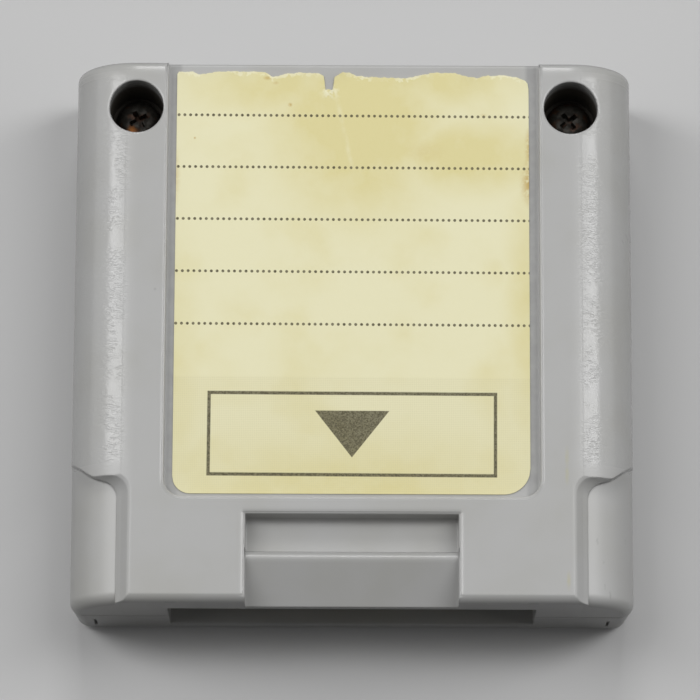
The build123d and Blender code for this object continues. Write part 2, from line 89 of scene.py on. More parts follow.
def mottle(material, size, detail=2.0, stretch=(1.0, 1.0, 1.0)):
    """Soft random lumps of about the given size, from 0 to 1."""
    point = place(material, [share / size for share in stretch])
    return put(material, "TexNoise", {"Vector": point, "Scale": 1.0, "Detail": detail}).outputs[0]


def calc(material, operation, *values):
    """One step of arithmetic."""
    return put(material, "Math", dict(enumerate(values)), operation=operation).outputs[0]


def fade(material, value, start, end, low=0.0, high=1.0):
    """Goes smoothly from low to high as the value goes from start to end."""
    inputs = {"Value": value, "From Min": start, "From Max": end, "To Min": low, "To Max": high}
    return put(material, "MapRange", inputs, interpolation_type="SMOOTHSTEP").outputs[0]


def mix(material, share, first, second):
    """The first colour where share is 0 and the second where it is 1."""
    return put(material, "Mix", {0: share, 6: first, 7: second}, data_type="RGBA").outputs[2]


def feed(material, socket, value):
    """Links a value to one of the shader's sockets."""
    shader = material.node_tree.nodes["Principled BSDF"]
    material.node_tree.links.new(value, shader.inputs[socket])


def fed(material, socket):
    """What is linked to one of the shader's sockets so far."""
    return material.node_tree.nodes["Principled BSDF"].inputs[socket].links[0].from_socket


def lay_over(material, share, colour):
    """Lays a colour over the surface where share is above 0."""
    feed(material, "Base Color", mix(material, share, fed(material, "Base Color"), colour))


def relief(material, height, depth):
    """Raises the surface by a depth times a height of 0 to 1, or sinks it where depth is below 0."""
    inputs = {"Height": height, "Distance": depth, "Strength": 1.0}
    shader = material.node_tree.nodes["Principled BSDF"]
    if shader.inputs["Normal"].is_linked:
        inputs["Normal"] = fed(material, "Normal")
    feed(material, "Normal", put(material, "Bump", inputs).outputs[0])


def dress(node, material):
    """Gives one of the frame's solids its finish."""
    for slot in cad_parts[node].material_slots:
        slot.material = material


def case_plastic(name):
    """Moulded grey plastic, slightly uneven with age, with a fine matt grain."""
    material = surface(name, {"IOR": 1.5})
    aged = fade(material, mottle(material, 9 * mm, 3.0), 0.35, 0.75)
    feed(material, "Base Color", mix(material, aged, case_grey, case_grey_aged))
    feed(material, "Roughness", fade(material, mottle(material, 4 * mm, 4.0), 0.3, 0.7, *case_roughness))
    feed(material, "Normal", put(material, "Bevel", {"Radius": edge_rounding}, samples=6).outputs[0])
    relief(material, mottle(material, ripple_size, 1.0), ripple_depth)
    relief(material, mottle(material, grain_size, 1.0), grain_depth)
    return material


dress("rear_shell", case_plastic("rear_shell_plastic"))

# Circuit board
# Glass laminate under a green coat, cut with a tongue at its front that enters the host's
# socket. It lies on the rear shell's ribs and is placed by two pins.
coat_green = (0.012, 0.085, 0.035, 1.0)
track_green = (0.028, 0.150, 0.062, 1.0)
laminate_tan = (0.330, 0.290, 0.150, 1.0)
track_pitch = 1.27 * mm
track_width = 0.30
track_soft = 0.06
track_height = 0.03 * mm
track_wander = 6.0

board = surface("board_laminate", {"Roughness": 0.28, "IOR": 1.5})
board_point = put(board, "SeparateXYZ", {0: place(board, (1 / track_pitch,) * 3)})
wander = mottle(board, 12 * mm, 0.0)
lane = calc(board, "ADD", board_point.outputs[0], calc(board, "MULTIPLY", wander, track_wander))
to_lane = calc(board, "ABSOLUTE", calc(board, "SUBTRACT", calc(board, "FRACT", lane), 0.5))
track = fade(board, to_lane, track_width, track_width - track_soft)
routed = fade(board, mottle(board, 7 * mm, 0.0), 0.46, 0.50)
track = calc(board, "MULTIPLY", track, routed)
feed(board, "Base Color", mix(board, track, coat_green, track_green))
relief(board, track, track_height)
board_normal = put(board, "SeparateXYZ", {0: put(board, "NewGeometry", {}).outputs["Normal"]})
cut_edge = fade(board, calc(board, "ABSOLUTE", board_normal.outputs[2]), 0.9, 0.5)
lay_over(board, cut_edge, laminate_tan)
dress("circuit_board", board)

# Edge contacts
# Sixteen gold-plated copper strips on each face of the tongue, dulled and scratched along
# their length by the socket's springs.
gold = (0.72, 0.48, 0.16, 1.0)
gold_worn = (0.58, 0.40, 0.17, 1.0)

contact = surface("contact_gold", {"Metallic": 1.0})
wiped = mottle(contact, 2.2 * mm, 3.0, (18.0, 1.0, 1.0))
feed(contact, "Base Color", mix(contact, fade(contact, wiped, 0.4, 0.7), gold, gold_worn))
feed(contact, "Roughness", fade(contact, wiped, 0.3, 0.7, 0.18, 0.42))
relief(contact, wiped, 0.004 * mm)
for row in ("front_contacts", "rear_contacts"):
    dress(row, contact)

# Chips
# The memory, decoder and supply chips: black moulding compound with a fine matt face.
# Their tinned legs are soldered to the board.
compound = (0.018, 0.018, 0.020, 1.0)
compound_pale = (0.032, 0.032, 0.035, 1.0)
tin = (0.60, 0.61, 0.62, 1.0)
tin_dull = (0.42, 0.43, 0.44, 1.0)

chip = surface("chip_black", {"IOR": 1.5})
feed(chip, "Base Color", mix(chip, mottle(chip, 0.5 * mm, 3.0), compound, compound_pale))
feed(chip, "Roughness", fade(chip, mottle(chip, 0.12 * mm, 2.0), 0.3, 0.7, 0.48, 0.62))
relief(chip, mottle(chip, 0.10 * mm, 1.0), 0.006 * mm)
tinned = surface("tinned_metal", {"Metallic": 1.0})
crystals = mottle(tinned, 0.4 * mm, 3.0)
feed(tinned, "Base Color", mix(tinned, crystals, tin, tin_dull))
feed(tinned, "Roughness", fade(tinned, crystals, 0.3, 0.7, 0.24, 0.44))
relief(tinned, crystals, 0.004 * mm)
for name in ("memory_chip", "decoder_chip", "power_chip"):
    dress(name, chip)
    dress(name + "_legs", tinned)

# Backup cell
# A coin cell in a nickel-plated can that keeps the memory, with a tab spot-welded to each
# pole and soldered to the board.
nickel = (0.62, 0.61, 0.59, 1.0)
nickel_dull = (0.50, 0.49, 0.47, 1.0)

cell = surface("cell_steel", {"Metallic": 1.0})
brushed = mottle(cell, 6 * mm, 4.0, (1.0, 40.0, 1.0))
feed(cell, "Base Color", mix(cell, brushed, nickel, nickel_dull))
feed(cell, "Roughness", fade(cell, brushed, 0.3, 0.7, 0.22, 0.36))
relief(cell, brushed, 0.003 * mm)
dress("coin_cell", cell)
for tab in ("cell_lower_tab", "cell_upper_tab"):
    dress(tab, tinned)

# Small parts on the board
# Ceramic capacitors, film resistors, a yellow tantalum capacitor and a diode, each
# soldered by its tinned ends or legs.
ceramic_tan = (0.34, 0.22, 0.11, 1.0)
ceramic_pale = (0.42, 0.29, 0.16, 1.0)
glaze_black = (0.012, 0.012, 0.013, 1.0)
glaze_grey = (0.035, 0.035, 0.037, 1.0)
resin_yellow = (0.62, 0.30, 0.035, 1.0)
resin_deep = (0.50, 0.22, 0.025, 1.0)
end_band = 0.8 * mm
band_soft = 0.05 * mm


def speckled(name, colour, other, size, roughness):
    """A fired or moulded surface with fine specks."""
    material = surface(name, {"Roughness": roughness, "IOR": 1.5})
    specks = mottle(material, size, 3.0)
    feed(material, "Base Color", mix(material, specks, colour, other))
    relief(material, specks, 0.01 * size)
    return material


dress("ceramic_capacitors", speckled("capacitor_ceramic", ceramic_tan, ceramic_pale, 0.25 * mm, 0.45))
dress("chip_resistors", speckled("resistor_ceramic", glaze_black, glaze_grey, 0.3 * mm, 0.22))
resin = speckled("tantalum_resin", resin_yellow, resin_deep, 0.35 * mm, 0.4)
band_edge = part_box("tantalum_capacitor")[1].x - end_band
along = put(resin, "SeparateXYZ", {0: place(resin)}).outputs[0]
lay_over(resin, fade(resin, along, band_edge - band_soft, band_edge + band_soft), compound)
dress("tantalum_capacitor", resin)
dress("diode", chip)
for ends in ("capacitor_ends", "resistor_ends", "tantalum_terminals", "diode_legs"):
    dress(ends, tinned)

# Front shell
# The label half of the case, moulded in the same plastic, with rolled grips, a label
# recess, a latch and two deep wells. Hands have polished the grips. Dirt and painted shade
# darken the wells, painted light brightens their outer front walls, and painted shade darkens the label's
# margin.
front_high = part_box("front_shell")[1]
label_low, label_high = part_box("label")
recess_side = 21.25 * mm
recess_front = -19.4 * mm
recess_corner = 2.0 * mm
recess_bevel = 0.25 * mm
screws_low, screws_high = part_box("case_screws")
screw_radius = (screws_high.y - screws_low.y) / 2
well_x = screws_high.x - screw_radius
well_y = (screws_low.y + screws_high.y) / 2
well_radius = 3.1 * mm
grime_and_painted_shade = (0.026, 0.021, 0.014, 1.0)
painted_lit_wall = (0.120, 0.117, 0.108, 1.0)
grime_roughness = 0.75
smudge_yellow = (0.42, 0.40, 0.25, 1.0)
scuff_pale = (0.52, 0.52, 0.51, 1.0)
scuff_dark = (0.27, 0.27, 0.26, 1.0)
dirt_marks = [((-27.1, 19.9), (0.45, 0.28), 0.50), ((-26.2, 19.1), (0.28, 0.22), 0.35),
              ((-22.5, 4.5), (0.22, 0.26), 0.60)]
smudge_radii = (0.35 * mm, 1.5 * mm)
smudges = [(24.2 * mm, -14.8 * mm), (24.2 * mm, -16.9 * mm), (24.3 * mm, -29.0 * mm)]
crease_start = 24.5 * mm
crease_end = 26.0 * mm
crease_wear = 0.10 * mm
grip_start = 25.0 * mm
margin_painted_shade = (0.270, 0.270, 0.268, 1.0)
polish_front = -15.5 * mm
polish_low = 9.5 * mm
dents = [(math.radians(24), 0.42 * mm, 0.014 * mm), (math.radians(-12), 0.34 * mm, 0.011 * mm)]
dent_paleness = 0.12
nick_darkness = 0.5
edge_wear = 0.055 * mm
edge_width = 0.36 * mm
back_edge_wear = 0.36 * mm
back_edge_width = 1.8 * mm
pocket_side = 12.0 * mm
pocket_back = -21.45 * mm
pocket_front = -25.35 * mm
pocket_edge_wear = 0.125 * mm
pocket_edge_width = 0.9 * mm
crest_y = -25.8 * mm
crest_width = 1.1 * mm
crest_wear = 0.22 * mm
worn_roughness = (0.36, 0.22)


def in_mm(values):
    """Lengths written in millimetres, as the frame's metres."""
    return [value * mm for value in values]


def spot(material, centre, radii):
    """A soft round spot, 1 at its centre and 0 past its radii."""
    point = put(material, "TexCoord", {}).outputs["Object"]
    shift = put(material, "VectorMath", {0: point, 1: (*centre, 0.0)}, operation="SUBTRACT").outputs[0]
    share = put(material, "VectorMath", {0: shift, 1: (*radii, 1.0)}, operation="DIVIDE").outputs[0]
    reach = put(material, "VectorMath", {0: share}, operation="LENGTH").outputs["Value"]
    return fade(material, reach, 1.0, 0.0)


def span(material, first, second):
    """The length of the slope across two sides."""
    return calc(material, "SQRT", calc(material, "ADD", calc(material, "MULTIPLY", first, first),
                                       calc(material, "MULTIPLY", second, second)))


def nearness(material, gap, width):
    """Rises as a curve from 0 at a width's distance from an edge to 1 at the edge."""
    share = put(material, "MapRange", {"Value": gap, "From Min": width, "From Max": 0.0}).outputs[0]
    return calc(material, "MULTIPLY", share, share)


front = case_plastic("front_shell_plastic")
x, y, z = put(front, "SeparateXYZ", {0: place(front)}).outputs
outward = calc(front, "ABSOLUTE", x)

# Grips: polished by hands, and worn soft where the shoulders start
grip = fade(front, outward, grip_start, grip_start + 1.5 * mm)
handled = calc(front, "MULTIPLY", grip, fade(front, y, polish_front - 1.5 * mm, polish_front + 1.0 * mm))
handled = calc(front, "MULTIPLY", handled, fade(front, y, front_high.y - 0.8 * mm, front_high.y - 2.5 * mm))
handled = calc(front, "MULTIPLY", handled, fade(front, z, polish_low, polish_low + 2.5 * mm))
crease = nearness(front, calc(front, "SUBTRACT", crease_end, outward), crease_end - crease_start)
relief(front, crease, -crease_wear)

# Edges: worn round at the recess, the pocket, the wells, the back and the crest of the latch
past_side = calc(front, "MAXIMUM", calc(front, "SUBTRACT", outward, recess_side - recess_corner), 0.0)
past_front = calc(front, "MAXIMUM", calc(front, "SUBTRACT", recess_front + recess_corner, y), 0.0)
recess_gap = calc(front, "SUBTRACT", span(front, past_side, past_front), recess_corner + recess_bevel)
past_pocket_side = calc(front, "MAXIMUM", calc(front, "SUBTRACT", outward, pocket_side), 0.0)
past_pocket_back = calc(front, "MAXIMUM", calc(front, "SUBTRACT", y, pocket_back), 0.0)
flat_top = fade(front, z, front_high.z - 0.15 * mm, front_high.z - 0.05 * mm)
recess_edge = calc(front, "MULTIPLY", flat_top, nearness(front, recess_gap, edge_width))
pocket_edge = nearness(front, span(front, past_pocket_side, past_pocket_back), pocket_edge_width)
pocket_edge = calc(front, "MULTIPLY", flat_top, pocket_edge)
relief(front, pocket_edge, -pocket_edge_wear)
from_axis = span(front, calc(front, "SUBTRACT", outward, well_x), calc(front, "SUBTRACT", y, well_y))
well_edge = nearness(front, calc(front, "SUBTRACT", from_axis, well_radius), edge_width)
relief(front, calc(front, "MAXIMUM", recess_edge, well_edge), -edge_wear)
back_edge = nearness(front, calc(front, "SUBTRACT", front_high.y, y), back_edge_width)
on_rim = calc(front, "MAXIMUM", fade(front, outward, recess_side, recess_side + 0.2 * mm),
              fade(front, y, front_high.y - 0.03 * mm, front_high.y - 0.01 * mm))
back_edge = calc(front, "MULTIPLY", back_edge, on_rim)
relief(front, back_edge, -back_edge_wear)
back_edge = calc(front, "MULTIPLY", back_edge, fade(front, y, front_high.y, front_high.y - 0.15 * mm))
crest = nearness(front, calc(front, "MAXIMUM", calc(front, "SUBTRACT", crest_y, y), 0.0), crest_width)
crest = calc(front, "MULTIPLY", crest, fade(front, y, pocket_front + 0.1 * mm, pocket_front))
crest = calc(front, "MULTIPLY", crest, fade(front, z, front_high.z - 0.1 * mm, front_high.z - 0.3 * mm))
crest = calc(front, "MULTIPLY", crest, fade(front, outward, pocket_side + 2.0 * mm, pocket_side + 1.0 * mm))
relief(front, crest, -crest_wear)
polished = handled
for worn in (recess_edge, pocket_edge, well_edge, back_edge, crest):
    polished = calc(front, "MAXIMUM", polished, fade(front, worn, 0.0, 0.3))
feed(front, "Roughness", fade(front, polished, 0.0, 1.0, *worn_roughness))

# Marks: dents and scuffs on the grips, dark specks and yellow smudges
knocks = calc(front, "MULTIPLY", fade(front, mottle(front, 3.0 * mm, 2.0), 0.36, 0.52),
              fade(front, outward, grip_start + 4.5 * mm, grip_start + 2.5 * mm, 0.25, 1.0))
for lean, size, depth in dents:
    streaks = put(front, "TexNoise", {"Vector": place(front, (0.35 / size, 1.2 / size, 1 / size), lean),
                                      "Scale": 1.0, "Detail": 2.0}).outputs[0]
    dent = calc(front, "MULTIPLY", calc(front, "MULTIPLY", handled, knocks), fade(front, streaks, 0.50, 0.64))
    relief(front, dent, -depth)
    lay_over(front, calc(front, "MULTIPLY", dent, dent_paleness), scuff_pale)
nick = calc(front, "MULTIPLY", grip, fade(front, mottle(front, 1.6 * mm, 5.0, (1.0, 0.5, 1.0)), 0.70, 0.76))
lay_over(front, calc(front, "MULTIPLY", nick, nick_darkness), scuff_dark)
for centre, radii, strength in dirt_marks:
    mark = spot(front, in_mm(centre), in_mm(radii))
    lay_over(front, calc(front, "MULTIPLY", mark, strength), scuff_dark)
for centre in smudges:
    smear = calc(front, "MULTIPLY", spot(front, centre, smudge_radii), mottle(front, 0.5 * mm, 2.0))
    lay_over(front, smear, smudge_yellow)

# Painted shade beside the label, with a mottle; dirt and painted shade in the wells, and painted light on
# their outer front walls
# Painted shade: the recess floor between the label's sides and the recess walls is darkened, with a mottle
shaded_margin = calc(front, "MULTIPLY", fade(front, outward, label_high.x - 0.6 * mm, label_high.x),
              calc(front, "MULTIPLY", fade(front, outward, recess_side - 0.15 * mm, recess_side - 0.4 * mm),
                   calc(front, "MULTIPLY", fade(front, z, label_high.z + 0.3 * mm, label_high.z),
                        fade(front, z, label_low.z - 0.3 * mm, label_low.z - 0.1 * mm))))
shade_mottle = fade(front, mottle(front, 1.5 * mm, 3.0), 0.3, 0.7, 0.5, 0.8)
lay_over(front, calc(front, "MULTIPLY", shaded_margin, shade_mottle), margin_painted_shade)
# Dirt and painted shade: the wells are darkened below their rim, more with depth
in_well = fade(front, from_axis, well_radius + 0.3 * mm, well_radius + 0.1 * mm)
well_dirt_and_shade = calc(front, "MULTIPLY", in_well, fade(front, z, front_high.z - 0.2 * mm, front_high.z - 3.2 * mm))
lay_over(front, well_dirt_and_shade, grime_and_painted_shade)
# Painted light: the outer front wall of each well is made lighter, where lamp light falls into it
lit_outer_wall = calc(front, "MULTIPLY", fade(front, outward, well_x + 1.4 * mm, well_x + 2.6 * mm),
                  fade(front, y, well_y + 0.6 * mm, well_y - 1.2 * mm))
lay_over(front, calc(front, "MULTIPLY", well_dirt_and_shade, lit_outer_wall), painted_lit_wall)
feed(front, "Roughness", calc(front, "MAXIMUM", fed(front, "Roughness"),
                              calc(front, "MULTIPLY", well_dirt_and_shade, grime_roughness)))
dress("front_shell", front)

# Case screws
# Plated steel screws with a domed head, a cross recess and a thread that cuts into the rear
# shell's bosses. They sit at the foot of each well, dark with dirt and rust.
seat_z = 10.1 * mm
tip_z = screws_low.z
head_height = screws_high.z - seat_z
core_radius = 0.95 * mm
crest_radius = 1.28 * mm
thread_pitch = 0.95 * mm
thread_rings = 72
screw_sides = 40
recess_span = 2.9 * mm
recess_width = 0.75 * mm
recess_depth = 1.2 * mm
recess_taper = 0.55
tip_radius = 0.2 * mm
point_radius = 0.62 * mm
point_length = 0.6 * mm
taper_length = 1.2 * mm
thread_start = 1.8 * mm
thread_end = 0.4 * mm
thread_sharpness = 3.2
dome_steps = 8
dome_flat = 0.45
rim_share = 0.35
smooth_angle = math.radians(40)
left_turn = math.radians(28)
right_turn = math.radians(-52)
steel = (0.048, 0.044, 0.037, 1.0)
steel_dark = (0.016, 0.014, 0.010, 1.0)
rust_dark = (0.060, 0.024, 0.010, 1.0)
rust = (0.520, 0.190, 0.040, 1.0)
rust_place = (-well_x - 0.75 * mm, well_y - 1.50 * mm)
rust_radii = (0.9 * mm, 1.1 * mm)


def crowned_head(share):
    """Radius and height on the head's dome, from its rim at 0 to its flat top at 1."""
    angle = math.radians(90 * share)
    return (screw_radius * (dome_flat + (1 - dome_flat) * math.cos(angle)),
            seat_z + head_height * (rim_share + (1 - rim_share) * math.sin(angle)))


# The turned blank is drawn up ring by ring from the tip, and its shank is then threaded
shank_rings = [(core_radius, tip_z + taper_length + (seat_z - tip_z - taper_length) * i / thread_rings)
               for i in range(thread_rings + 1)]
dome_rings = [crowned_head(i / dome_steps) for i in range(dome_steps + 1)]
blank = [(point_radius, tip_z + point_length), *shank_rings, (screw_radius, seat_z), *dome_rings]
bpy.ops.mesh.primitive_circle_add(vertices=screw_sides, radius=tip_radius, fill_type="NGON",
                                  location=(0, 0, tip_z))
screw = bpy.context.object
bpy.ops.object.transform_apply(location=True)
bpy.ops.object.mode_set(mode="EDIT")
ring_radius, ring_z = tip_radius, tip_z
for next_radius, next_z in blank:
    bpy.ops.mesh.extrude_region_move(TRANSFORM_OT_translate={"value": (0, 0, next_z - ring_z)})
    wider = next_radius / ring_radius
    bpy.ops.transform.resize(value=(wider, wider, 1), center_override=(0, 0, next_z))
    ring_radius, ring_z = next_radius, next_z
bpy.ops.mesh.select_all(action="SELECT")
bpy.ops.mesh.normals_make_consistent(inside=False)
bpy.ops.object.mode_set(mode="OBJECT")
for point in screw.data.vertices:
    run_out = min(1, (point.co.z - tip_z) / thread_start, (seat_z - point.co.z) / thread_end)
    if point.co.z < seat_z - 0.01 * mm:
        turn = point.co.z / thread_pitch - math.atan2(point.co.y, point.co.x) / math.tau
        ridge = max(0.0, 1 - thread_sharpness * abs(turn % 1 - 0.5))
        reach = 1 + run_out * ridge * (crest_radius / core_radius - 1)
        point.co.x *= reach
        point.co.y *= reach

# The cross recess is two tapered blades sunk into the dome
for blade_turn in (0, math.pi / 2):
    bpy.ops.mesh.primitive_cube_add(size=1, location=(0, 0, screws_high.z), rotation=(0, 0, blade_turn),
                                    scale=(recess_span, recess_width, 2 * recess_depth))
    blade = bpy.context.object
    bpy.ops.object.transform_apply(location=True, rotation=True, scale=True)
    for point in blade.data.vertices:
        if point.co.z < screws_high.z:
            point.co.x *= recess_taper
            point.co.y *= recess_taper
    sink = screw.modifiers.new("cross_recess", "BOOLEAN")
    sink.object = blade
    sink.solver = "EXACT"
    bpy.context.view_layer.objects.active = screw
    bpy.ops.object.modifier_apply(modifier=sink.name)
    bpy.data.objects.remove(blade)

screw_steel = surface("rusted_screw_steel", {"Metallic": 0.5})
dull = mottle(screw_steel, 0.7 * mm, 4.0)
feed(screw_steel, "Base Color", mix(screw_steel, fade(screw_steel, dull, 0.35, 0.65), steel, steel_dark))
feed(screw_steel, "Roughness", fade(screw_steel, dull, 0.3, 0.7, 0.45, 0.75))
lay_over(screw_steel, fade(screw_steel, mottle(screw_steel, 1.0 * mm, 3.0), 0.52, 0.66, 0.0, 0.8), rust_dark)
bloom = calc(screw_steel, "MULTIPLY", spot(screw_steel, rust_place, rust_radii),
             fade(screw_steel, mottle(screw_steel, 0.5 * mm, 3.0), 0.3, 0.5))
lay_over(screw_steel, bloom, rust)
relief(screw_steel, dull, 0.04 * mm)
screw.data.materials.append(screw_steel)
bpy.ops.object.select_all(action="DESELECT")
screw.select_set(True)
bpy.context.view_layer.objects.active = screw
bpy.ops.object.shade_smooth_by_angle(angle=smooth_angle)
for name, side, turn in (("left_case_screw", -1, left_turn), ("right_case_screw", 1, right_turn)):
    bpy.ops.object.select_all(action="DESELECT")
    fitted = screw.copy()
    fitted.data = screw.data.copy()
    fitted.name = name
    bpy.context.collection.objects.link(fitted)
    fitted.location = (side * well_x, well_y, 0)
    fitted.rotation_euler = (0, 0, turn)
    fitted.select_set(True)
    bpy.context.view_layer.objects.active = fitted
    bpy.ops.object.transform_apply(location=True, rotation=True)
    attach(fitted, "root")
    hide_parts("case_screws")
bpy.data.objects.remove(screw)

# Paper label
# A printed paper label pasted into the recess, yellowed and stained with age, and torn off
# along its back edge. Dotted writing lines cross it above a screened band.
label_columns = 360
label_rows = 44
paper_thickness = 0.11 * mm
corner_left = 2.0 * mm
corner_right = 3.0 * mm
torn_edge = [(-20.3, 0.35), (-20.1, 0.05), (-18.57, 0.06), (-18.0, 0.29), (-17.04, 0.37), (-16.2, 0.11),
             (-15.2, 0.02), (-11.9, 0.02), (-10.2, 0.11), (-9.8, 0.37), (-9.25, 0.69), (-8.7, 0.63),
             (-8.0, 0.29), (-6.6, 0.11), (-4.9, 0.17), (-3.8, 0.29), (-3.4, 0.52), (-3.26, 2.10),
             (-2.43, 2.20), (-2.25, 0.8), (-1.87, 0.37), (-1.3, 0.11), (-0.5, 0.11), (0.35, 0.46),
             (1.5, 0.63), (3.4, 0.66), (5.9, 0.75), (7.3, 0.46), (7.9, 0.23), (9.5, 0.11), (11.5, 0.14),
             (12.3, 0.29), (13.2, 0.57), (14.3, 0.63), (15.4, 0.4), (17.3, 0.4), (18.7, 0.63),
             (19.6, 0.95), (20.0, 1.4), (20.1, 2.0)]
fray_size = 0.55 * mm
fray_depth = 0.24 * mm
lift_height = 0.16 * mm
lift_reach = 0.7 * mm
curl_length = 3 * mm
wave_height = 0.03 * mm
wave_width = 7 * mm
wave_length = 9 * mm
paste_gap = 0.01 * mm
paper_cream = (0.770, 0.737, 0.490, 1.0)
paper_yellow = (0.690, 0.625, 0.310, 1.0)
paper_fibre = (0.815, 0.785, 0.550, 1.0)
stain_brown = (0.500, 0.340, 0.090, 1.0)
band_tint = (0.560, 0.520, 0.300, 1.0)
ink = (0.070, 0.060, 0.026, 1.0)
damp_patches = [((0.5, 25), (15, 18), 1.5), ((13, 20.5), (14, 6.5), 1.3), ((-9, 29), (16, 6), 1.0),
                ((10, 30), (14, 6), 1.1), ((-1, 21), (5, 9), 1.4), ((0, -20), (34, 12), 1.0),
                ((20, 2), (4, 24), 0.8), ((-20, -6), (4, 24), 0.55)]
stains = [((20.3, 17.4), (1.5, 3.6), 1.0), ((20.3, 21.6), (0.9, 3.4), 0.8),
          ((-20.5, 18.0), (0.9, 4.6), 0.45), ((8.3, 21.0), (3.2, 1.8), 0.12)]
specks = [((-9.9, 29.8), (0.7, 0.35), 0.7), ((-9.0, 29.2), (0.5, 0.3), 0.6),
          ((-7.3, 26.6), (0.35, 0.35), 0.9), ((-18.2, 22.6), (0.2, 0.2), 0.8),
          ((14.8, 25.4), (0.6, 0.3), 0.4)]
print_turn = math.radians(0.2)
band_top = -5.5
screen_pitch = math.tau / 0.42
screen_soft = 0.08
first_row = 0.65
row_pitch = 6.16
last_row = 4.0
dot_pitch = 0.66
dot_radius = 0.17
mark_top = -9.4
mark_tip = -14.8
mark_half_width = 4.2
border_half_width = 16.4
border_top = -7.2
border_low = -17.0
border_line = 0.38
print_soft = 0.05
dot_soft = 0.03
nick_scuff = (-2.7 * mm, 28.1 * mm)
nick_scuff_radii = (1.6 * mm, 1.2 * mm)
fold_slope = -0.22
fold_start = 4.0
fold_reach = (19.5, 27.5)
fold_soft = 1.5
fold_half_width = 0.15
fold_blur = 0.3


def torn_back(across):
    """Where the torn back edge lies, with its fine fraying."""
    for (start, drop), (end, next_drop) in zip(torn_edge, torn_edge[1:]):
        if across <= end * mm:
            share = (across - start * mm) / (end * mm - start * mm)
            drop = drop + (next_drop - drop) * max(0.0, share)
            break
    fray = 0.5 + 0.5 * lattice.fractal(Vector((across / fray_size, 3.7, 0.0)), 0.9, 2.0, 3)
    return label_high.y - drop * mm - fray_depth * min(1.0, max(0.0, fray))


def rounded_front(across):
    """Where the front edge lies, with its two rounded corners."""
    for edge_gap, radius in ((across - label_low.x, corner_left), (label_high.x - across, corner_right)):
        if edge_gap < radius:
            return label_low.y + radius - math.sqrt(max(0.0, radius ** 2 - (radius - edge_gap) ** 2))
    return label_low.y


bpy.ops.object.select_all(action="DESELECT")
bpy.ops.mesh.primitive_grid_add(x_subdivisions=label_columns, y_subdivisions=label_rows, size=1)
label = bpy.context.object
label.name = "paper_label"
from_tear = label.data.attributes.new("from_tear", "FLOAT", "POINT")
for point in label.data.vertices:
    across = label_low.x + (label_high.x - label_low.x) * (point.co.x + 0.5)
    front_y, back_y = rounded_front(across), torn_back(across)
    along = (1 - math.cos(math.pi * (point.co.y + 0.5))) / 2
    point.co.x = across
    point.co.y = front_y + (back_y - front_y) * along
    gap = back_y - point.co.y
    wave = 0.5 + 0.5 * lattice.noise(Vector((point.co.x / wave_width, point.co.y / wave_length, 1.3)))
    curl = max(0.0, 0.3 + lattice.noise(Vector((point.co.x / curl_length, 8.1, 0.0))))
    lift = lift_height * curl * math.exp(-gap / lift_reach)
    point.co.z = label_low.z + paste_gap + wave_height * wave + lift
    from_tear.data[point.index].value = gap / mm
thicken = label.modifiers.new("thicken", "SOLIDIFY")
thicken.thickness = paper_thickness
thicken.offset = 1.0
bpy.ops.object.modifier_apply(modifier=thicken.name)
bpy.ops.object.shade_smooth_by_angle(angle=smooth_angle)


def window(material, value, low, high, soft):
    """1 where the value lies between low and high, with soft ends."""
    return calc(material, "MULTIPLY", fade(material, value, low - soft, low + soft),
                fade(material, value, high + soft, high - soft))


# Paper: cream, yellower where damp and hands have reached it, with a fine fibre
paper = surface("printed_paper", {"IOR": 1.45})
yellowing = fade(paper, mottle(paper, 9 * mm, 3.0), 0.42, 0.72, 0.0, 0.5)
for centre, radii, strength in damp_patches:
    patch = spot(paper, in_mm(centre), in_mm(radii))
    yellowing = calc(paper, "MAXIMUM", yellowing, calc(paper, "MULTIPLY", patch, strength))
blotch = fade(paper, mottle(paper, 2.5 * mm, 4.0), 0.3, 0.7, 0.75, 1.1)
yellowing = calc(paper, "MULTIPLY", yellowing, blotch)
feed(paper, "Base Color", mix(paper, yellowing, paper_cream, paper_yellow))
fibre = mottle(paper, 0.16 * mm, 3.0)
feed(paper, "Roughness", fade(paper, mottle(paper, 0.4 * mm, 3.0), 0.3, 0.7, 0.5, 0.7))
relief(paper, fibre, 0.006 * mm)
for centre, radii, strength in stains + specks:
    mark = spot(paper, in_mm(centre), in_mm(radii))
    ragged = calc(paper, "MULTIPLY", mark, fade(paper, mottle(paper, 0.5 * mm, 3.0), 0.25, 0.55))
    lay_over(paper, calc(paper, "MULTIPLY", ragged, strength), stain_brown)

# Print: a screened band, dotted writing lines, and an insertion mark in a plain border
x, y = put(paper, "SeparateXYZ", {0: place(paper, (1 / mm,) * 3, print_turn)}).outputs[:2]
band = fade(paper, y, band_top + screen_soft, band_top - screen_soft)
diagonals = [calc(paper, "SINE", calc(paper, "MULTIPLY", calc(paper, way, x, y), screen_pitch))
             for way in ("ADD", "SUBTRACT")]
screen = calc(paper, "MULTIPLY", *diagonals)
lay_over(paper, calc(paper, "MULTIPLY", band, fade(paper, screen, -0.2, 0.5, 0.06, 0.32)), band_tint)
row = calc(paper, "DIVIDE", calc(paper, "SUBTRACT", y, first_row), row_pitch)
nearest = calc(paper, "MINIMUM", calc(paper, "MAXIMUM", calc(paper, "ROUND", row), 0.0), last_row)
off_row = calc(paper, "MULTIPLY", calc(paper, "SUBTRACT", row, nearest), row_pitch)
dot_share = calc(paper, "FRACT", calc(paper, "DIVIDE", x, dot_pitch))
off_dot = calc(paper, "MULTIPLY", calc(paper, "SUBTRACT", dot_share, 0.5), dot_pitch)
printed = fade(paper, span(paper, off_row, off_dot), dot_radius + dot_soft, dot_radius - dot_soft)
inward = calc(paper, "ABSOLUTE", x)
slant = calc(paper, "MULTIPLY", calc(paper, "SUBTRACT", y, mark_tip), mark_half_width / (mark_top - mark_tip))
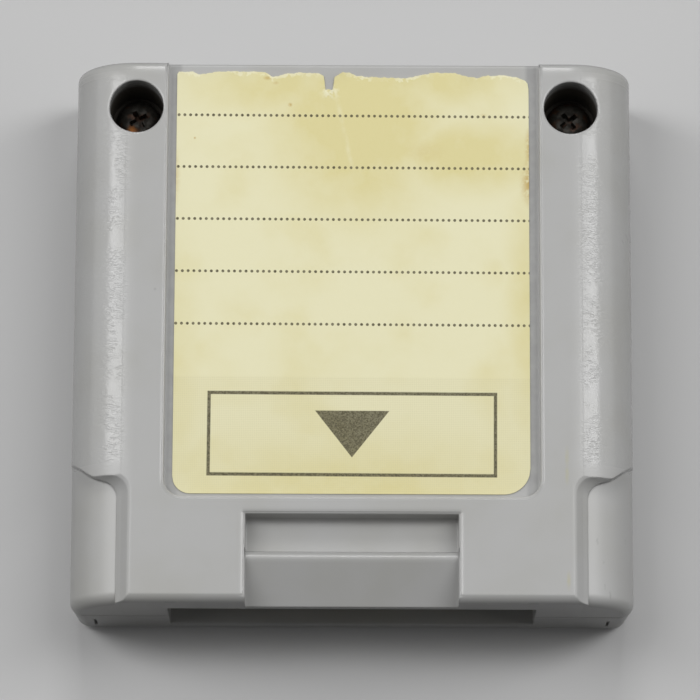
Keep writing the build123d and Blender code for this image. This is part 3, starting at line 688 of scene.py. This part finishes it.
mark = calc(paper, "MULTIPLY", fade(paper, calc(paper, "SUBTRACT", slant, inward), -print_soft, print_soft),
            fade(paper, y, mark_top + print_soft, mark_top - print_soft))
printed = calc(paper, "MAXIMUM", printed, mark)
outside, inside = [
    calc(paper, "MULTIPLY",
         fade(paper, inward, border_half_width - line + print_soft, border_half_width - line - print_soft),
         window(paper, y, border_low + line, border_top - line, print_soft))
    for line in (0.0, border_line)]
printed = calc(paper, "MAXIMUM", printed, calc(paper, "SUBTRACT", outside, inside))
lay_over(paper, calc(paper, "MULTIPLY", printed, fade(paper, fibre, 0.35, 0.65, 1.0, 0.82)), ink)

# Tear: bare pale fibre along the torn edge and round the nick, and a fold below the nick
torn_gap = put(paper, "Attribute", {}, attribute_name="from_tear").outputs["Fac"]
bare = calc(paper, "ADD", torn_gap, fade(paper, mottle(paper, 0.5 * mm, 3.0), 0.3, 0.7, -0.35, 0.35))
peeled = calc(paper, "MULTIPLY", fade(paper, bare, 0.36, 0.08, 0.0, 0.75),
              fade(paper, mottle(paper, 2.4 * mm, 2.0), 0.42, 0.56, 0.15, 1.0))
lay_over(paper, peeled, paper_fibre)
scuffed = calc(paper, "MULTIPLY", spot(paper, nick_scuff, nick_scuff_radii),
               fade(paper, mottle(paper, 0.6 * mm, 3.0), 0.4, 0.6))
lay_over(paper, scuffed, paper_fibre)
relief(paper, scuffed, 0.03 * mm)
along_fold = calc(paper, "ADD", calc(paper, "MULTIPLY", y, fold_slope), fold_start)
off_fold = calc(paper, "SUBTRACT", x, along_fold)
fold = calc(paper, "MULTIPLY", window(paper, off_fold, -fold_half_width, fold_half_width, fold_blur),
            window(paper, y, *fold_reach, fold_soft))
cracked = fade(paper, mottle(paper, 1.6 * mm, 3.0), 0.35, 0.7, 0.0, 0.6)
lay_over(paper, calc(paper, "MULTIPLY", fold, cracked), paper_fibre)
relief(paper, fold, 0.02 * mm)
label.data.materials.append(paper)
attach(label, "root")
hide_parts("label")

# Floor, light and camera
# A plain pale floor, soft lamps above and beside the card, a small one behind it, and a
# camera at the photograph's place.
floor_pale = (0.52, 0.52, 0.52, 1.0)
floor_dim = (0.06, 0.06, 0.06, 1.0)
floor_size = 6.0
floor_gap = 0.02 * mm
lamp_power = 3.0
lamp_size = (0.24, 0.62)
lamp_place = (0.46, 0.17, 0.78)
side_lamp_power = 1.5
side_lamp_size = (0.80, 0.64)
side_lamp_place = (0.72, 0.16, 0.40)
back_lamp_power = 1.8
back_lamp_size = (0.30, 0.25)
back_lamp_place = (0.0, 0.66, 0.60)
sky_light = 0.08
sky_pale = 0.50
camera_place = (-0.00031, -0.1269, 0.5396)
camera_tilt = math.radians(13.40)
camera_roll = math.radians(0.23)
camera_lens = 243.6
camera_sensor = 36.0
camera_near = 0.01


def shows_backdrop(material):
    """1 for a ray from the camera, off gloss or through glass, and 0 for one that only lights."""
    ray = put(material, "LightPath", {})
    shown = calc(material, "MAXIMUM", ray.outputs["Is Camera Ray"], ray.outputs["Is Glossy Ray"])
    return calc(material, "MAXIMUM", shown, ray.outputs["Is Transmission Ray"])


bpy.ops.mesh.primitive_plane_add(size=floor_size, location=(0, 0, -floor_gap))
bpy.ops.object.transform_apply(location=True)
floor = bpy.context.object
floor.name = "floor"
floor_finish = surface("floor_finish", {"Roughness": 0.8})
feed(floor_finish, "Base Color", mix(floor_finish, shows_backdrop(floor_finish), floor_dim, floor_pale))
floor.data.materials.append(floor_finish)

lamps = [("back_lamp", back_lamp_place, back_lamp_size, back_lamp_power)]
for side_name, side in (("left", -1), ("right", 1)):
    for name, (out, back, up), size, power in (
            ("lamp", lamp_place, lamp_size, lamp_power),
            ("side_lamp", side_lamp_place, side_lamp_size, side_lamp_power)):
        lamps.append((side_name + "_" + name, (side * out, back, up), size, power))
for name, lamp_at, size, power in lamps:
    aim = (-Vector(lamp_at)).to_track_quat("-Z", "Y").to_euler()
    bpy.ops.object.light_add(type="AREA", location=lamp_at, rotation=aim)
    lamp = bpy.context.object
    lamp.name = name
    lamp.data.shape = "RECTANGLE"
    lamp.data.size, lamp.data.size_y = size
    lamp.data.energy = power

world = bpy.data.worlds.new("studio")
bpy.context.scene.world = world
world.use_nodes = True
backdrop = world.node_tree.nodes["Background"]
backdrop.inputs["Color"].default_value = (1.0, 1.0, 1.0, 1.0)
strength = fade(world, shows_backdrop(world), 0.0, 1.0, sky_light, sky_pale)
world.node_tree.links.new(strength, backdrop.inputs["Strength"])

bpy.ops.object.camera_add(location=camera_place, rotation=(camera_tilt, 0.0, 0.0))
camera = bpy.context.object
camera.rotation_euler.rotate_axis("Z", camera_roll)
camera.data.lens = camera_lens
camera.data.sensor_width = camera_sensor
camera.data.clip_start = camera_near
bpy.context.scene.camera = camera
bpy.context.scene.view_settings.view_transform = "Standard"
